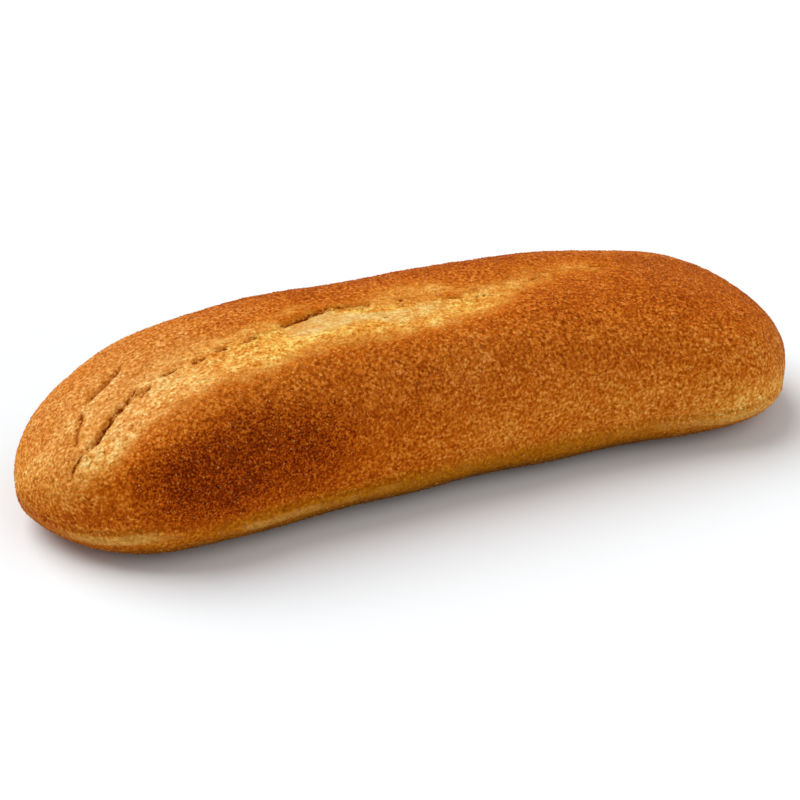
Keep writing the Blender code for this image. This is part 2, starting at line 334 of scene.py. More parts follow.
# Pattern in the crust's material: width of its marks and the change in browning that they make
BROAD_MARKS, BROAD_CHANGE = 14 * MM, 0.10
MOTTLE_MARKS, MOTTLE_CHANGE = 4.2 * MM, 0.14
TORN_MARKS, TORN_CHANGE = 1.7 * MM, 0.50
GRAIN_MARKS, GRAIN_CHANGE = 0.93 * MM, 0.30
FINE_MARKS, FINE_CHANGE = 0.52 * MM, 0.20
NOISE_LOW, NOISE_HIGH = 0.28, 0.72

# The grain is noise with small cells in it, and finer where the crust is nearly burnt
CELL_MARKS, CELL_EDGE = 1.1 * MM, (0.2, 0.9)
NOISE_IN_GRAIN, CELLS_IN_GRAIN, GRAIN_SHIFT = 0.85, 0.35, -0.1
BURNT, BURNT_FINENESS = (0.56, 0.76), 0.38
FINE_SPREAD, FINE_SHIFT = 1.1, -0.02

# Tints of its high and low places, partly the crust's own speckle and partly painted highlight on the bumps
# and painted shade in their hollows, and how far each grain's own tone changes them
GRAIN_SPECK_AND_HIGHLIGHT, GRAIN_SPECK_AND_SHADE = (1.28, 1.36, 1.6), (0.70, 0.52, 0.32)
TONE_CHANGE, DARK_TONE_SHARE = 0.5, 0.6

# It shows less on cream crumb, on torn crust and on pale crust, from the first of these degrees of browning
# down to the second
CREAM_CALM, BAND_CALM, PALE_CALM = 0.4, 0.25, 0.2
PALE_CRUST = (0.5, 0.25)

# Edges that the marks break up: how strongly, and between which shares each edge lies
RIM_RAGGED, RIM_STEP = 0.8, (0.15, 0.95)
BAND_RAGGED, BAND_STEP = 0.9, (0.1, 0.95)
CREAM_RAGGED, CREAM_STEP = 0.9, (0.15, 0.9)

# The dark line of painted shade in a crack and the warmer edge of painted shade beside it, in half widths of
# the crack, and the holes darkened with painted shade
LINE_HALF_WIDTH, LINE_EDGE, LINE_WANDER = 0.8, 2.4, 1.0
LINE_CORE, LINE_EDGE_COVER, LINE_OPEN = 0.3, 0.6, (0.1, 0.6)
HOLE_STEP = (0.2, 0.7)

# Bumps too small for the mesh: their height, how far each kind of mark lowers them, and from what level
BUMP_HEIGHT = 0.45 * MM
GRAIN_BUMP, CELL_BUMP, FINE_BUMP, BUMP_LEVEL = 0.4, 0.5, 0.2, 0.55

# How rough and how shiny the crust is
ROUGHNESS_LOW, ROUGHNESS_HIGH = 0.55, 0.8
SHEEN_LEVEL = 0.06
SHEEN_COLOUR = (1.0, 0.6, 0.2, 1)

# Grains and blisters on the crust: how many, the points of each, their radius and height, and how deep they
# sit. A higher power makes more of them small, or of a middling tone.
GRAINS, GRAIN_POINTS = 48000, 4
GRAIN_RADIUS_LOW, GRAIN_RADIUS_HIGH, GRAIN_RADIUS_POWER = 0.30 * MM, 0.62 * MM, 2
TONE_POWER = 3
GRAIN_HEIGHT_SHARE = 0.42
GRAIN_SINK = 0.10 * MM
GRAIN_FLOOR = 3 * MM

# What the material reads from the mesh
LAYERS = ("toast", "band", "cream", "rim", "foot", "base", "deep", "gold",
          "hole", "gap", "open", "fresh", "tone")

# Camera: turn and tilt, distance from the loaf, shift of its aim to the right and up
CAMERA_TURN, CAMERA_TILT = np.radians(22.964), np.radians(29.867)
CAMERA_DISTANCE = 487.333 * MM
CAMERA_ASIDE, CAMERA_RAISE = 5.081 * MM, -12.865 * MM
LENS, SENSOR = 72, 36

# Light: where each soft source is seen from, its spread and its strength
WORLD_STRENGTH = 0.34
LIGHTS = (
    ("key", (-0.42, 0.55, 0.95), 50, 2.75),
    ("fill", (0.65, -0.75, 0.55), 75, 0.95),
)
FLOOR_SIDE = 6.0
FLOOR_GAP = 0.2 * MM
FLOOR_COLOUR = (0.845, 0.875, 0.89, 1)
FLOOR_ROUGHNESS, FLOOR_SHEEN = 0.9, 0.1
WHITE = (1, 1, 1, 1)


def rounding(distance, reach, power):
    """0 at the tip of a rounded end, rising to 1 at its reach."""
    left = 1 - np.clip(distance / reach, 0, 1)
    return (1 - left**power) ** (1 / power)


def smooth_step(value):
    value = np.clip(value, 0, 1)
    return value * value * (3 - 2 * value)


def rise(value, ends):
    """A smooth step from 0 at the first end to 1 at the other."""
    return smooth_step((value - ends[0]) / (ends[1] - ends[0]))


def hump(distance, width):
    return np.exp(-((distance / width) ** 2))


def through(points, at):
    """The smooth curve through points, read at the given places."""
    places, values = np.array(points).T
    slopes = np.gradient(values, places)
    at = np.clip(at, places[0], places[-1])
    i = np.clip(np.searchsorted(places, at) - 1, 0, len(places) - 2)
    span = places[i + 1] - places[i]
    t = (at - places[i]) / span
    start = (1 + 2 * t) * (1 - t) ** 2 * values[i] + t * (1 - t) ** 2 * span * slopes[i]
    end = t**2 * (3 - 2 * t) * values[i + 1] - t**2 * (1 - t) * span * slopes[i + 1]
    return start + end


def plan_share(x):
    """How much of the full width the loaf has at x."""
    left = rounding(LENGTH / 2 + x, LEFT_PLAN_REACH, LEFT_PLAN_POWER)
    return left * rounding(LENGTH / 2 - x, RIGHT_PLAN_REACH, RIGHT_PLAN_POWER)


def levels(x):
    """Heights of the widest line, the top and the underside at x."""
    left, right = LENGTH / 2 + x, LENGTH / 2 - x
    left_tip = 1 - rounding(left, TIP_LEVEL_REACH, TIP_LEVEL_POWER)
    right_tip = 1 - rounding(right, TIP_LEVEL_REACH, TIP_LEVEL_POWER)
    widest = WIDEST_LEVEL + (LEFT_TIP_LEVEL - WIDEST_LEVEL) * left_tip
    widest = widest + (RIGHT_TIP_LEVEL - WIDEST_LEVEL) * right_tip
    top_share = rounding(left, LEFT_TOP_REACH, LEFT_TOP_POWER)
    top_share = top_share * rounding(right, RIGHT_TOP_REACH, RIGHT_TOP_POWER)
    base_share = rounding(left, LEFT_BASE_REACH, BASE_POWER)
    base_share = base_share * rounding(right, RIGHT_BASE_REACH, BASE_POWER)
    return widest, widest + (HEIGHT - widest) * top_share, widest * (1 - base_share)


def form(x, angle):
    """Points of the plain loaf, without its cut, crease and swells, and before its base is flat."""
    widest, top, underside = levels(x)
    across, up = np.cos(angle), np.sin(angle)
    power = np.where(up >= 0, UPPER_POWER, LOWER_POWER)
    reach = (abs(across) ** power + abs(up) ** power) ** (-1 / power)
    y = WIDTH / 2 * plan_share(x) * reach * across
    drawn_in = FRONT_WAIST * hump(x, FRONT_WAIST_REACH)
    drawn_in = drawn_in - sum(most * hump(x - at, reach) for most, at, reach in FRONT_HIPS)
    y = y + drawn_in * plan_share(x) * np.clip(-across, 0, 1)
    depth = np.where(up >= 0, top - widest, widest - underside + BASE_CUT_AWAY)
    return np.stack([x, y, widest + reach * up * depth], axis=-1)


def along(share):
    """x for a share of the way over the loaf from tip to tip, evenly spaced on its surface."""
    left = -LENGTH / 2 + LEFT_PLAN_REACH
    right = LENGTH / 2 - RIGHT_PLAN_REACH
    middle = np.interp(share, (LEFT_ROUND_SHARE, 1 - RIGHT_ROUND_SHARE), (left, right))
    left_turn = np.clip(share / LEFT_ROUND_SHARE, 0, 1) * np.pi / 2
    right_turn = np.clip((1 - share) / RIGHT_ROUND_SHARE, 0, 1) * np.pi / 2
    return middle - LEFT_PLAN_REACH * np.cos(left_turn) + RIGHT_PLAN_REACH * np.cos(right_turn)


def row_beside_cut(row, x):
    """Moves the rows of the top towards the cut: the row at CUT_ROW lands on it."""
    target = 1 / np.tan(np.radians(through(CUT_PATH, x / MM)))
    target = np.clip(target, -CUT_ROW_LIMIT, CUT_ROW_LIMIT)
    side = np.where(row < CUT_ROW, -1, 1)
    t = (row - CUT_ROW) / (side - CUT_ROW)
    near_cut = rise(x, CUT_ROWS_LEFT) * rise(x, CUT_ROWS_RIGHT)
    spacing = 1 - (1 - CUT_ROW_SPACING) * near_cut
    t = spacing * t + (1 - spacing) * t * t
    return target + (side - target) * t


def shaken(block, random):
    """Points of the grid moved by part of a cell within their own side, so that no rows show."""
    cell = 2 / np.array((CELLS_ALONG, CELLS_ACROSS, CELLS_UP))
    free = abs(block) < 1 - TINY
    return block + random.uniform(-CELL_SHAKE, CELL_SHAKE, block.shape) * cell * free


def places_on_loaf(block):
    """Place along and angle round the loaf for points on a cube of side 2."""
    ring = np.maximum(abs(block[:, 1]), abs(block[:, 2]))
    inner = np.maximum(ring, TINY)
    share = END_FACE_SHARE + (1 - 2 * END_FACE_SHARE) * (block[:, 0] + 1) / 2
    x = along(share + block[:, 0] * END_FACE_SHARE * (1 - ring))
    across, up = block[:, 1] / inner, block[:, 2] / inner
    on_top = up > 1 - TINY
    across = np.where(on_top, row_beside_cut(across, x), across)
    return x, np.arctan2(up, across)


class Path:
    """A line on the crust, with the distance of any point from it."""

    def __init__(self, points):
        self.points = points
        x = np.linspace(points[0][0], points[-1][0], PATH_SAMPLES)
        self.places = form(x * MM, np.radians(through(points, x)))
        self.length = np.linalg.norm(np.diff(self.places, axis=0), axis=1).sum()
        self.tree = KDTree(PATH_SAMPLES)
        for index, place in enumerate(self.places):
            self.tree.insert(place, index)
        self.tree.balance()

    def beside(self, places, x, angle):
        """Distance, positive towards the front, and the share of the way along the path."""
        found = [self.tree.find(place)[1:] for place in places]
        index, distance = np.array(found).T
        front = angle > np.radians(through(self.points, x / MM))
        return np.where(front, distance, -distance), index / (PATH_SAMPLES - 1)

    def near(self, places):
        low = self.places.min(axis=0) - CRACK_REACH
        high = self.places.max(axis=0) + CRACK_REACH
        return np.all((places > low) & (places < high), axis=1)


def fading(share, start, end):
    return smooth_step(share / start) * smooth_step((1 - share) / end)


def rough(places, width):
    """Noise from about -1 to 1 whose bumps are as wide as given."""
    return np.array([noise.noise(Vector(place) / width) for place in places])


def cut_relief(places, x, angle):
    """The shallow trough of the opened cut, its raised back lip and the swelling in front of it."""
    distance, share = Path(CUT_PATH).beside(places, x, angle)
    deep = sum(hump(x - at, reach) for at, reach in OVERHANGS)
    trough = -TROUGH_DEPTH * hump(distance - TROUGH_SHIFT, TROUGH_WIDTH)
    behind = smooth_step(0.5 - distance / LIP_EDGE)
    lip = LIP_RISE * np.exp(np.minimum(distance, 0) / LIP_REACH) * behind
    shoulder = SHOULDER_RISE * hump(distance - SHOULDER_SHIFT, SHOULDER_WIDTH)
    shoulder = shoulder * smooth_step((SHOULDER_END - x) / SHOULDER_FADE)
    return fading(share, CUT_FADE_IN, CUT_FADE_OUT) * (trough + shoulder + deep * lip)


def add_cracks(places, x, angle):
    """Depth, lean of the back lip, way to the nearest crack in its half widths, how open, fresh, crusty."""
    depth, lean, open_share, fresh, crusty = (np.zeros(len(places)) for _ in range(5))
    gap = np.full(len(places), float(NO_CRACK))
    for order, (points, deepest, half_width, leaning) in enumerate(CRACKS):
        path = Path(points)
        near = path.near(places)
        distance, share = path.beside(places[near], x[near], angle[near])
        way = np.stack([share * path.length, 0 * share, 0 * share + order], axis=1)
        distance = distance + CRACK_WANDER * rough(way, CRACK_WANDER_WIDTH)
        strength = fading(share, CRACK_FADE, CRACK_FADE)
        strength = strength * (CRACK_STRENGTH + CRACK_BREAKS * rough(way + BREAK_SHIFT, BREAK_WIDTH))
        depth[near] += strength * deepest * MM * hump(distance, half_width * MM)
        behind = smooth_step(0.5 - distance / (half_width * MM))
        lean[near] += strength * leaning * MM * behind * np.exp(np.minimum(distance, 0) / LEAN_REACH)
        crust = min(1, LIP_CRUST_SHARE * leaning) * hump(distance + LIP_CRUST_SHIFT, LIP_CRUST_WIDTH)
        crusty[near] = np.maximum(crusty[near], strength * crust)
        widths = distance / (half_width * MM)
        nearer = abs(widths) < abs(gap[near])
        gap[near] = np.where(nearer, widths, gap[near])
        line = strength * min(1, deepest / OPEN_DEPTH) * rise(abs(widths), OPEN_REACH)
        open_share[near] = np.where(nearer, line, open_share[near])
        beside = smooth_step(distance / MM) * np.exp(-np.maximum(distance, 0) / FRESH_REACH)
        fresh[near] = np.maximum(fresh[near], strength * beside * min(1, deepest / FRESH_DEPTH))
    return depth, lean, gap, open_share, fresh, crusty


def add_holes(places):
    depth, dark = np.zeros(len(places)), np.zeros(len(places))
    for place, turn, deepest, radius, darkness in HOLES:
        centre = form(np.array(place * MM), np.radians(turn))
        distance = np.linalg.norm(places - centre, axis=1)
        shape = hump(distance, radius * MM)
        depth += deepest * MM * shape
        dark = np.maximum(dark, darkness * shape)
    return depth, dark


def foot_relief(above_foot, x):
    """The foot's rim with a crease above it, weaker round the ends."""
    crease = CREASE_DEPTH * hump(above_foot - CREASE_ABOVE_FOOT, CREASE_WIDTH)
    return (FOOT_RISE * hump(above_foot, FOOT_WIDTH) - crease) * plan_share(x) ** 2


def swell_relief(x, angle):
    total = 0
    for height, length, phase, times, turn in SWELLS:
        total = total + height * np.cos(2 * np.pi * x / length + phase) * np.cos(times * angle + turn)
    return total * plan_share(x)


def between_lines(x, angle, back, front, back_softness, front_softness):
    """1 between two lines along the loaf and 0 outside them."""
    degrees = np.degrees(angle)
    inside = smooth_step((through(front, x / MM) - degrees) / front_softness + 0.5)
    return inside * smooth_step((degrees - through(back, x / MM)) / back_softness + 0.5)


def band_share(x, angle):
    """How much the crust is opened: 1 in the middle of the band, 0 outside it."""
    share = between_lines(x, angle, BAND_BACK, BAND_FRONT, BAND_BACK_SOFTNESS, BAND_FRONT_SOFTNESS)
    share = share * smooth_step((x - BAND_LEFT) / BAND_LEFT_SOFTNESS + 0.5)
    share = share * smooth_step((BAND_RIGHT - x) / BAND_RIGHT_SOFTNESS + 0.5)
    behind_cut = through(CUT_PATH, x / MM) - np.degrees(angle)
    share = share * (1 - BAND_BEHIND_CUT * rise(behind_cut, BEHIND_CUT))
    return share * (1 - BAND_WEAKENING * rise(x, (BAND_WEAK_FROM, BAND_WEAK_TO)))


def cream_share(x, angle):
    """How much smooth cream crumb shows, less so where it is broken up."""
    share = between_lines(x, angle, CREAM_BACK, CREAM_FRONT, CREAM_BACK_SOFTNESS, CREAM_FRONT_SOFTNESS)
    share = share * (1 - CREAM_BROKEN * rise(x, CREAM_BREAKS))
    left, right = CREAM_FRONT[0][0], CREAM_FRONT[-1][0]
    share = share * smooth_step((x / MM - left) / CREAM_LEFT_FADE)
    return share * smooth_step((right - x / MM) / CREAM_RIGHT_FADE)


def browning(x, angle, height):
    """How far the crust is browned outside the opened band, even where it meets the floor."""
    degrees = np.degrees(np.where(angle < -np.pi / 2, angle + 2 * np.pi, angle))
    change = 0
    for place, turn, left, right, back, front, most in TOAST_PATCHES:
        aside, round_by = x / MM - place, degrees - turn
        aside = aside / np.where(aside < 0, left, right)
        round_by = round_by / np.where(round_by < 0, back, front)
        change = change + most * smooth_step(PATCH_EDGE - np.hypot(aside, round_by))
    return TOAST + change * smooth_step(height / TOAST_BOTTOM - 0.5)


def grain_relief(places, band, smooth):
    """Bumps all over, and coarser ones, drawn out along the loaf, where the crust tore open."""
    grain = sum(height * rough(places, width) for height, width in GRAIN)
    torn = TORN_GRAIN * rough(places / (TORN_STRETCH, 1, 1), TORN_WIDTH)
    return (1 - SMOOTHING * smooth) * (grain + band * torn)


def make_grid(mesh):
    """A cube of side 2 cut into the grid."""
    bmesh.ops.create_cube(mesh, size=2)
    for axis, cells in enumerate((CELLS_ALONG, CELLS_ACROSS, CELLS_UP)):
        ends = [(edge, edge.verts[0].co[axis], edge.verts[1].co[axis]) for edge in mesh.edges]
        long_edges = [edge for edge, low, high in ends if abs(high - low) > 1]
        bmesh.ops.subdivide_edges(mesh, edges=long_edges, cuts=cells - 1, use_grid_fill=True)


def move_to(mesh, places):
    for vertex, place in zip(mesh.verts, places):
        vertex.co = place


def towards_front(x, angle):
    """Directions across the crust, towards the front."""
    step = np.radians(1)
    ways = form(x, angle + step) - form(x, angle - step)
    return ways / np.maximum(np.linalg.norm(ways, axis=1, keepdims=True), TINY * MM)


def foot_shares(x, height, above_foot):
    """How much of the colours of the foot, its pale rim and the dark edge of the base shows: the foot and
    base edge partly, and the crease line above the rim wholly, painted shade.
    """
    rim_share = through(RIM_SHARE, x / MM)
    rim = smooth_step(1 - (abs(above_foot + RIM_DROP) - RIM_WIDTH) / RIM_EDGE) * rim_share
    line = hump(above_foot - CREASE_SHADE_ABOVE, CREASE_SHADE_WIDTH) * rim_share
    foot = rise(height, (FOOT_TOP, FOOT_BOTTOM)) * through(FOOT_SHARE, x / MM)
    base = rise(height, (BASE_TOP, BASE_BOTTOM)) * through(BASE_SHARE, x / MM)
    return foot, rim, np.maximum(base, CREASE_SHADE_SHARE * line)


def over_the_solid(places):
    """The places moved sideways, so that the middle of their box is over the middle of the solid's."""
    middle = (places.min(axis=0) + places.max(axis=0)) / 2
    low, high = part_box("loaf")
    aim = (low + high) / 2
    return places + (aim[0] - middle[0], aim[1] - middle[1], 0)


def raise_relief(mesh, x, angle):
    """Pushes the crust in and out along its normals, less near the floor. Returns what the material reads."""
    mesh.normal_update()
    places = np.array([vertex.co for vertex in mesh.verts])
    normals = np.array([vertex.normal for vertex in mesh.verts])
    band, cream = band_share(x, angle), cream_share(x, angle)
    above_foot = places[:, 2] - through(FOOT_PATH, x / MM) * MM
    foot, rim, base = foot_shares(x, places[:, 2], above_foot)
    cracks, lean, gap, open_share, fresh, crusty = add_cracks(places, x, angle)
    band = band * (1 - LIP_CRUST_COVER * crusty)
    holes, hole_shade = add_holes(places)
    relief = cut_relief(places, x, angle) - cracks - holes
    relief = relief + foot_relief(above_foot, x) + swell_relief(x, angle)
    relief = relief + grain_relief(places, band, np.maximum(cream, RIM_SMOOTHNESS * rim))
    relief = relief * smooth_step(places[:, 2] / SETTLED_HEIGHT)
    places = places + normals * relief[:, None] + towards_front(x, angle) * lean[:, None]
    move_to(mesh, over_the_solid(places))
    return {
        "toast": browning(x, angle, places[:, 2]),
        "band": band,
        "cream": cream,
        "rim": rim,
        "foot": foot,
        "base": base,
        # Painted warm shade, stronger lower down
        "deep": rise(places[:, 2] + LOW_SHADE_LOWERED * rise(x, LOW_SHADE_LOWER_END), (LOW_SHADE_TOP, LOW_SHADE_BOTTOM)),
        "gold": np.maximum(band * (1 - cream), crusty) * rise(x, (GOLD_FROM, GOLD_TO)),
        "hole": hole_shade,
        "gap": gap,
        "open": open_share,
        "fresh": fresh,
        "tone": 0 * x,
    }


def cut_flat_base(mesh):
    """Slices the rounded underside off at the floor and closes it with one flat face."""
    everything = mesh.verts[:] + mesh.edges[:] + mesh.faces[:]
    bmesh.ops.bisect_plane(
        mesh, geom=everything, dist=BASE_SNAP, plane_co=(0, 0, 0), plane_no=(0, 0, -1), clear_outer=True
    )
    rim = [edge for edge in mesh.edges if edge.is_boundary]
    for edge in rim:
        for vertex in edge.verts:
            vertex.co.z = 0
    bmesh.ops.holes_fill(mesh, edges=rim, sides=0)
    bmesh.ops.recalc_face_normals(mesh, faces=mesh.faces)


class Paint:
    """The node tree of one material, with a short call for each kind of node that it needs."""

    def __init__(self, name):
        self.material = bpy.data.materials.new(name)
        self.material.use_nodes = True
        self.tree = self.material.node_tree
        self.shader = self.tree.nodes["Principled BSDF"]
        self.place = self.node("ShaderNodeTexCoord").outputs["Object"]

    def node(self, kind, **settings):
        node = self.tree.nodes.new(kind)
        for name, value in settings.items():
            setattr(node, name, value)
        return node

    def feed(self, socket, value):
        """Links the socket to another node's output, or sets it to a plain value."""
        if isinstance(value, bpy.types.NodeSocket):
            self.tree.links.new(value, socket)
        else:
            socket.default_value = value

    def share(self, name):
        return self.node("ShaderNodeAttribute", attribute_name=name).outputs["Fac"]

    def marks(self, width, detail, seed, stretch=1.0):
        """Marks of the given width, drawn out along the loaf, spread evenly from 0 to 1."""
        node = self.node("ShaderNodeTexNoise", noise_dimensions="4D")
        self.feed(node.inputs["Vector"], self.times(self.place, (1 / stretch, 1, 1)))
        node.inputs["W"].default_value = seed
        node.inputs["Scale"].default_value = 1 / width
        node.inputs["Detail"].default_value = detail
        spread = self.node("ShaderNodeMapRange")
        self.feed(spread.inputs["Value"], node.outputs["Fac"])
        spread.inputs["From Min"].default_value = NOISE_LOW
        spread.inputs["From Max"].default_value = NOISE_HIGH
        return spread.outputs["Result"]

    def granules(self, width):
        """Distance from the middle of the nearest of many small cells."""
        node = self.node("ShaderNodeTexVoronoi")
        self.feed(node.inputs["Vector"], self.place)
        node.inputs["Scale"].default_value = 1 / width
        return node.outputs["Distance"]

    def sum(self, value, factor, added):
        """value * factor + added."""
        node = self.node("ShaderNodeMath", operation="MULTIPLY_ADD")
        for socket, part in zip(node.inputs, (value, factor, added)):
            self.feed(socket, part)
        return node.outputs[0]

    def product(self, value, factor):
        return self.sum(value, factor, 0.0)

    def centred(self, marks, most):
        """Marks from 0 to 1 as a change from half of most below 0 to half of it above."""
        return self.sum(marks, most, -0.5 * most)

    def changed(self, value, marks, most):
        """The value with such a change added."""
        return self.sum(marks, most, self.sum(value, 1.0, -0.5 * most))

    def times(self, colour, factor):
        node = self.node("ShaderNodeVectorMath", operation="MULTIPLY")
        self.feed(node.inputs[0], colour)
        self.feed(node.inputs[1], factor)
        return node.outputs[0]

    def size(self, value):
        node = self.node("ShaderNodeMath", operation="ABSOLUTE")
        self.feed(node.inputs[0], value)
        return node.outputs[0]

    def rise(self, value, low, high):
        """A smooth step from 0 at low to 1 at high, which may also be the lower of the two."""
        node = self.node("ShaderNodeMapRange", interpolation_type="SMOOTHSTEP")
        self.feed(node.inputs["Value"], value)
        node.inputs["From Min"].default_value = min(low, high)
        node.inputs["From Max"].default_value = max(low, high)
        node.inputs["To Min"].default_value = float(low > high)
        node.inputs["To Max"].default_value = float(low < high)
        return node.outputs["Result"]

    def mix(self, share, without, full):
        """Between two numbers."""
        node = self.node("ShaderNodeMix", data_type="FLOAT")
        self.feed(node.inputs["Factor"], share)
        self.feed(node.inputs[2], without)
        self.feed(node.inputs[3], full)
        return node.outputs[0]

    def cover(self, share, under, colour):
        """One colour over another."""
        node = self.node("ShaderNodeMix", data_type="RGBA")
        self.feed(node.inputs["Factor"], share)
        self.feed(node.inputs[6], under)
        self.feed(node.inputs[7], (*colour, 1))
        return node.outputs[2]

    def colours(self, value, stops):
        node = self.node("ShaderNodeValToRGB")
        self.feed(node.inputs["Fac"], value)
        elements = node.color_ramp.elements
        while len(elements) < len(stops):
            elements.new(0.5)
        for element, (place, colour) in zip(elements, stops):
            element.position = place
            element.color = (*colour, 1)
        return node.outputs["Color"]


def crust_grain(paint, fine, cells):
    """Noise with cells in it, partly replaced by the fine marks where the crust is nearly burnt."""
    between_cells = paint.rise(cells, *CELL_EDGE)
    grain = paint.marks(GRAIN_MARKS, detail=1.0, seed=1.0)
    grain = paint.sum(grain, NOISE_IN_GRAIN, paint.sum(between_cells, CELLS_IN_GRAIN, GRAIN_SHIFT))
    burnt = paint.rise(paint.share("toast"), *BURNT)
    finer = paint.sum(fine, FINE_SPREAD, FINE_SHIFT)
    return paint.mix(paint.product(burnt, BURNT_FINENESS), grain, finer)


def broken_up(paint, name, ragged, strength, step):
    """A share read from the mesh, its edge broken up by ragged marks."""
    return paint.rise(paint.sum(ragged, strength, paint.share(name)), *step)


def graininess(paint, band, cream):
    """How strongly the grain shows, up to 1."""
    grainy = paint.sum(cream, -CREAM_CALM, paint.sum(band, -BAND_CALM, 1.0))
    return paint.sum(paint.rise(paint.share("toast"), *PALE_CRUST), -PALE_CALM, grainy)


def browned(paint, band, cream, grain, fine, mottle, grainy):
    """How far the crust is browned, with the changes that all its marks make."""
    toast = paint.mix(band, paint.share("toast"), BAND_TOAST)
    toast = paint.mix(paint.share("fresh"), toast, CREAM_TOAST)
    toast = paint.mix(cream, toast, CREAM_TOAST)
    torn = paint.marks(TORN_MARKS, detail=2.0, seed=6.0, stretch=TORN_STRETCH)
    change = paint.changed(paint.centred(grain, GRAIN_CHANGE), fine, FINE_CHANGE)
    change = paint.sum(paint.centred(torn, TORN_CHANGE), band, change)
    toast = paint.sum(change, grainy, toast)
    toast = paint.changed(toast, mottle, MOTTLE_CHANGE)
    broad = paint.marks(BROAD_MARKS, detail=2.0, seed=4.0)
    return paint.changed(toast, broad, BROAD_CHANGE)


def with_tints(paint, colour, cream, grain):
    """Painted warm shade, deeper lower down and in the grain's hollows; golden where torn, duller on the
    cream crumb.
    """
    hollows = paint.sum(grain, LOW_SHADE_IN_HOLLOWS, LOW_SHADE_LEAST)
    deep = paint.product(paint.share("deep"), hollows)
    for share, tint in ((deep, LOW_SHADE_TINT), (paint.share("gold"), GOLD_TINT), (cream, CREAM_TINT)):
        colour = paint.times(colour, paint.cover(share, WHITE, tint))
    return colour


def with_foot(paint, colour, rim):
    """The foot, then its pale rim and the dark edge of the base, the foot and base edge partly painted shade.
    """
    foot, base = paint.share("foot"), paint.share("base")
    colour = paint.cover(paint.product(foot, FOOT_COVER), colour, FOOT_AND_SHADE_COLOUR)
    colour = paint.cover(paint.product(rim, RIM_COVER), colour, RIM_COLOUR)
    return paint.cover(paint.product(base, BASE_COVER), colour, BASE_EDGE_AND_SHADE_COLOUR)


def with_grains(paint, colour, grain, grainy):
    """Lighter and darker with the grain and with each grain's own tone, the palest ones most: partly the
    crust's speckle, partly painted highlight, glints and shade.
    """
    tone = paint.share("tone")
    darker = paint.sum(tone, -TONE_CHANGE, paint.centred(grain, 1.0))
    tint = paint.cover(paint.sum(darker, grainy, 0.5), (*GRAIN_SPECK_AND_HIGHLIGHT, 1), GRAIN_SPECK_AND_SHADE)
    pale = paint.product(paint.rise(tone, *PALE_TONES), paint.product(grainy, PALE_COVER))
    return paint.cover(pale, paint.times(colour, tint), PALE_SPECK_AND_GLINT)


def with_cracks(paint, colour, grain):
    """Painted shade: a dark, wandering line in each crack with a warmer edge, and dark holes."""
    away = paint.size(paint.sum(paint.centred(grain, LINE_WANDER), 1.0, paint.share("gap")))
    open_share = paint.rise(paint.share("open"), *LINE_OPEN)
    edge = paint.rise(away, LINE_EDGE, LINE_HALF_WIDTH)
    edge = paint.product(edge, paint.product(open_share, LINE_EDGE_COVER))
    colour = paint.cover(edge, colour, CRACK_EDGE_SHADE_COLOUR)
    line = paint.rise(away, LINE_HALF_WIDTH, LINE_CORE * LINE_HALF_WIDTH)
    colour = paint.cover(paint.product(line, open_share), colour, CRACK_SHADE_COLOUR)
    return paint.cover(paint.rise(paint.share("hole"), *HOLE_STEP), colour, CRACK_SHADE_COLOUR)


def bumps(paint, grain, fine, cells, grainy):
    """The normal of the crust with its finest bumps."""
    lift = paint.sum(grain, -GRAIN_BUMP, paint.sum(cells, -CELL_BUMP, BUMP_LEVEL))
    lift = paint.sum(fine, -FINE_BUMP, lift)
    bump = paint.node("ShaderNodeBump")
    bump.inputs["Distance"].default_value = BUMP_HEIGHT
    paint.feed(bump.inputs["Height"], paint.product(lift, grainy))
    return bump.outputs["Normal"]


def make_crust_material():
    paint = Paint("browned_crust")
    fine = paint.marks(FINE_MARKS, detail=0.0, seed=2.0)
    cells = paint.granules(CELL_MARKS)
    grain = crust_grain(paint, fine, cells)
    mottle = paint.marks(MOTTLE_MARKS, detail=2.0, seed=3.0)
    # Half mottle and half grain, from -0.5 to 0.5
    ragged = paint.sum(mottle, 0.5, paint.sum(grain, 0.5, -0.5))
    rim = broken_up(paint, "rim", ragged, RIM_RAGGED, RIM_STEP)
    band = broken_up(paint, "band", ragged, BAND_RAGGED, BAND_STEP)
    cream = broken_up(paint, "cream", ragged, CREAM_RAGGED, CREAM_STEP)
    grainy = graininess(paint, band, cream)
    toast = browned(paint, band, cream, grain, fine, mottle, grainy)

    colour = paint.colours(toast, TOAST_COLOURS)
    colour = with_tints(paint, colour, cream, grain)
    colour = with_foot(paint, colour, rim)
    colour = with_grains(paint, colour, grain, grainy)
    colour = with_cracks(paint, colour, grain)
    paint.feed(paint.shader.inputs["Base Color"], colour)
    paint.feed(paint.shader.inputs["Normal"], bumps(paint, grain, fine, cells, grainy))
    paint.feed(paint.shader.inputs["Roughness"], paint.mix(mottle, ROUGHNESS_LOW, ROUGHNESS_HIGH))
    paint.shader.inputs["Specular IOR Level"].default_value = SHEEN_LEVEL
    paint.shader.inputs["Specular Tint"].default_value = SHEEN_COLOUR
    return paint.material


def make_crust(random):
    mesh = bmesh.new()
    make_grid(mesh)
    block = np.array([vertex.co for vertex in mesh.verts])
    x, angle = places_on_loaf(shaken(block, random))
    move_to(mesh, form(x, angle))
    shares = raise_relief(mesh, x, angle)
    for name, values in shares.items():
        layer = mesh.verts.layers.float.new(name)
        for vertex, value in zip(mesh.verts, values):
            vertex[layer] = value
    cut_flat_base(mesh)
    data = bpy.data.meshes.new("crust")
    mesh.to_mesh(data)
    mesh.free()
    crust = add_piece("crust", data)
    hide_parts("loaf")
    return data


